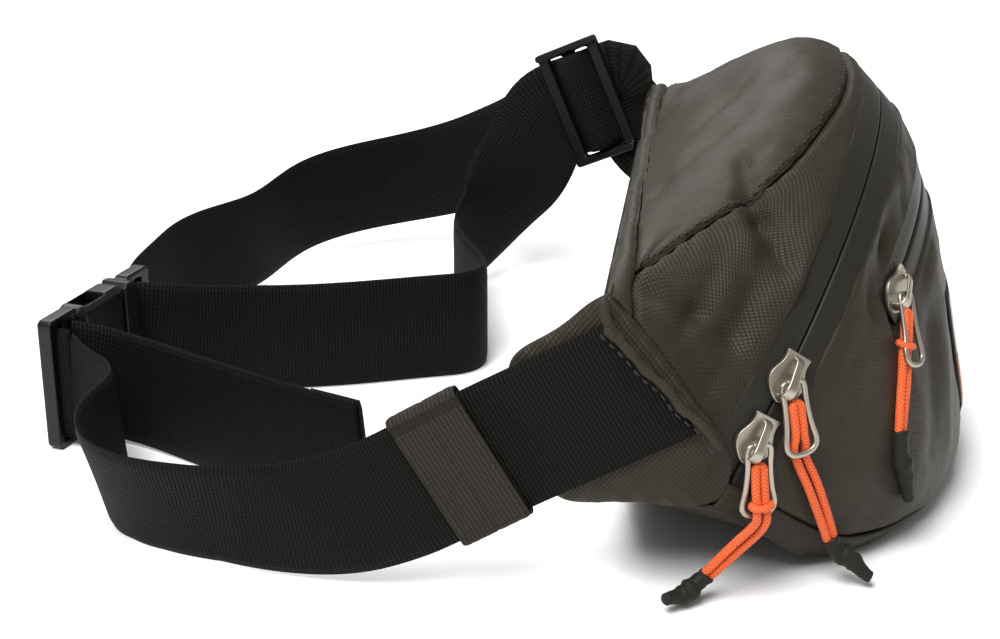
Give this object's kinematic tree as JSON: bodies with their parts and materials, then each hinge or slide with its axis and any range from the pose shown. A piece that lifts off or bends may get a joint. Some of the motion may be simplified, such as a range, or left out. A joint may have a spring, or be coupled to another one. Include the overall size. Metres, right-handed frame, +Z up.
{
  "type": "throw rope bag",
  "caption": "Padded zipped waist pack for a throw rope, with a webbing belt, side-release buckle and corded zip pulls.",
  "frame": {"origin": "middle of the flat base that the pack stands on", "axes": "+Z up, +Y from the pack towards the belt loop, +X to the wearer's left when the pack is worn in front"},
  "size_m": [0.2958, 0.2911, 0.1297],
  "materials": {
    "pack_fabric": "dark coated ripstop, satin",
    "zip_tape": "smooth coated tape",
    "zip_coil": "nylon coil",
    "foam": "closed foam",
    "spacer_mesh": "spacer mesh",
    "lining": "thin lining",
    "label": "plain moulded patch",
    "webbing": "ribbed polyester webbing",
    "elastic": "ribbed elastic",
    "moulded_plastic": "moulded acetal",
    "satin_metal": "satin plated",
    "cord": "braided cord",
    "shrink_tube": "shrink tube"
  },
  "bodies": {
    "pack": {"back_panel": "pack_fabric", "back_foam": "foam", "back_pad": "spacer_mesh", "back_edge_band": "pack_fabric", "top_panel": "pack_fabric", "side_yoke": "pack_fabric", "front_panel": "pack_fabric", "pocket_lining": "lining", "bottom_panel": "pack_fabric", "main_zip_rear_tape": "zip_tape", "main_zip_front_tape": "zip_tape", "main_zip_coil": "zip_coil", "pocket_zip_rear_tape": "zip_tape", "pocket_zip_front_tape": "zip_tape", "pocket_zip_coil": "zip_coil", "hip_wing_left": "pack_fabric", "hip_wing_right": "pack_fabric", "wing_binding_left": "pack_fabric", "wing_binding_right": "pack_fabric", "label_base": "label", "webbing_near": "webbing", "webbing_far": "webbing", "buckle_male": "moulded_plastic", "tri_glide": "moulded_plastic"},
    "buckle_socket": {"buckle_female": "moulded_plastic"},
    "prong_upper": {"buckle_prong_upper": "moulded_plastic"},
    "prong_lower": {"buckle_prong_lower": "moulded_plastic"},
    "keeper": {"elastic_keeper": "elastic"},
    "main_upper_slider_body": {"main_upper_slider": "satin_metal"},
    "main_upper_pull_body": {"main_upper_ring": "satin_metal", "main_upper_pull_cord": "cord", "main_upper_pull_end": "shrink_tube"},
    "main_lower_slider_body": {"main_lower_slider": "satin_metal"},
    "main_lower_pull_body": {"main_lower_ring": "satin_metal", "main_lower_pull_cord": "cord", "main_lower_pull_end": "shrink_tube"},
    "pocket_slider_body": {"pocket_slider": "satin_metal"},
    "pocket_pull_body": {"pocket_ring": "satin_metal", "pocket_pull_cord": "cord", "pocket_pull_end": "shrink_tube"}
  },
  "joints": [
    {"name": "buckle_release", "type": "slide", "parent": "pack", "child": "buckle_socket", "axis": [-0.9744, 0.225, 0], "range_m": [0, 0.038], "deforming": ["webbing_near"]},
    {"name": "prong_upper_flex", "type": "hinge", "parent": "pack", "child": "prong_upper", "pos_m": [-0.00497, 0.22345, 0.0362], "axis": [-0.225, -0.9744, 0], "range_deg": [0, 7], "stiffness_Nm_per_rad": 0.5},
    {"name": "prong_lower_flex", "type": "hinge", "parent": "pack", "child": "prong_lower", "pos_m": [-0.00497, 0.22345, 0.0078], "axis": [0.225, 0.9744, 0], "range_deg": [0, 7], "stiffness_Nm_per_rad": 0.5},
    {"name": "keeper_slide", "type": "slide", "parent": "pack", "child": "keeper", "axis": [0, 0.8555, -0.5178], "range_m": [-0.003, 0.006]},
    {"name": "main_upper_travel", "type": "hinge", "parent": "pack", "child": "main_upper_slider_body", "pos_m": [0, 0.0276, 0.0137], "axis": [0, 0.891, 0.454], "range_deg": [0, 118]},
    {"name": "main_lower_travel", "type": "hinge", "parent": "pack", "child": "main_lower_slider_body", "pos_m": [0, 0.0276, 0.0137], "axis": [0, 0.891, 0.454], "range_deg": [-3, 1.2]},
    {"name": "pocket_travel", "type": "hinge", "parent": "pack", "child": "pocket_slider_body", "pos_m": [0, 0.006, 0.0148], "axis": [0, 0.866, 0.5], "range_deg": [0, 80]},
    {"name": "main_upper_pull_hinge", "type": "hinge", "parent": "main_upper_slider_body", "child": "main_upper_pull_body", "pos_m": [-0.10398, 0.00141, 0.06217], "axis": [-0.543, 0.832, -0.1136], "range_deg": [0, 50]},
    {"name": "main_lower_pull_hinge", "type": "hinge", "parent": "main_lower_slider_body", "child": "main_lower_pull_body", "pos_m": [-0.11145, 0.00928, 0.04673], "axis": [-0.4495, 0.8931, -0.0193], "range_deg": [0, 50]},
    {"name": "pocket_pull_hinge", "type": "hinge", "parent": "pocket_slider_body", "child": "pocket_pull_body", "pos_m": [-0.0603, -0.03024, 0.07256], "axis": [-0.8127, 0.5329, 0.2358], "range_deg": [0, 50]}
  ]
}
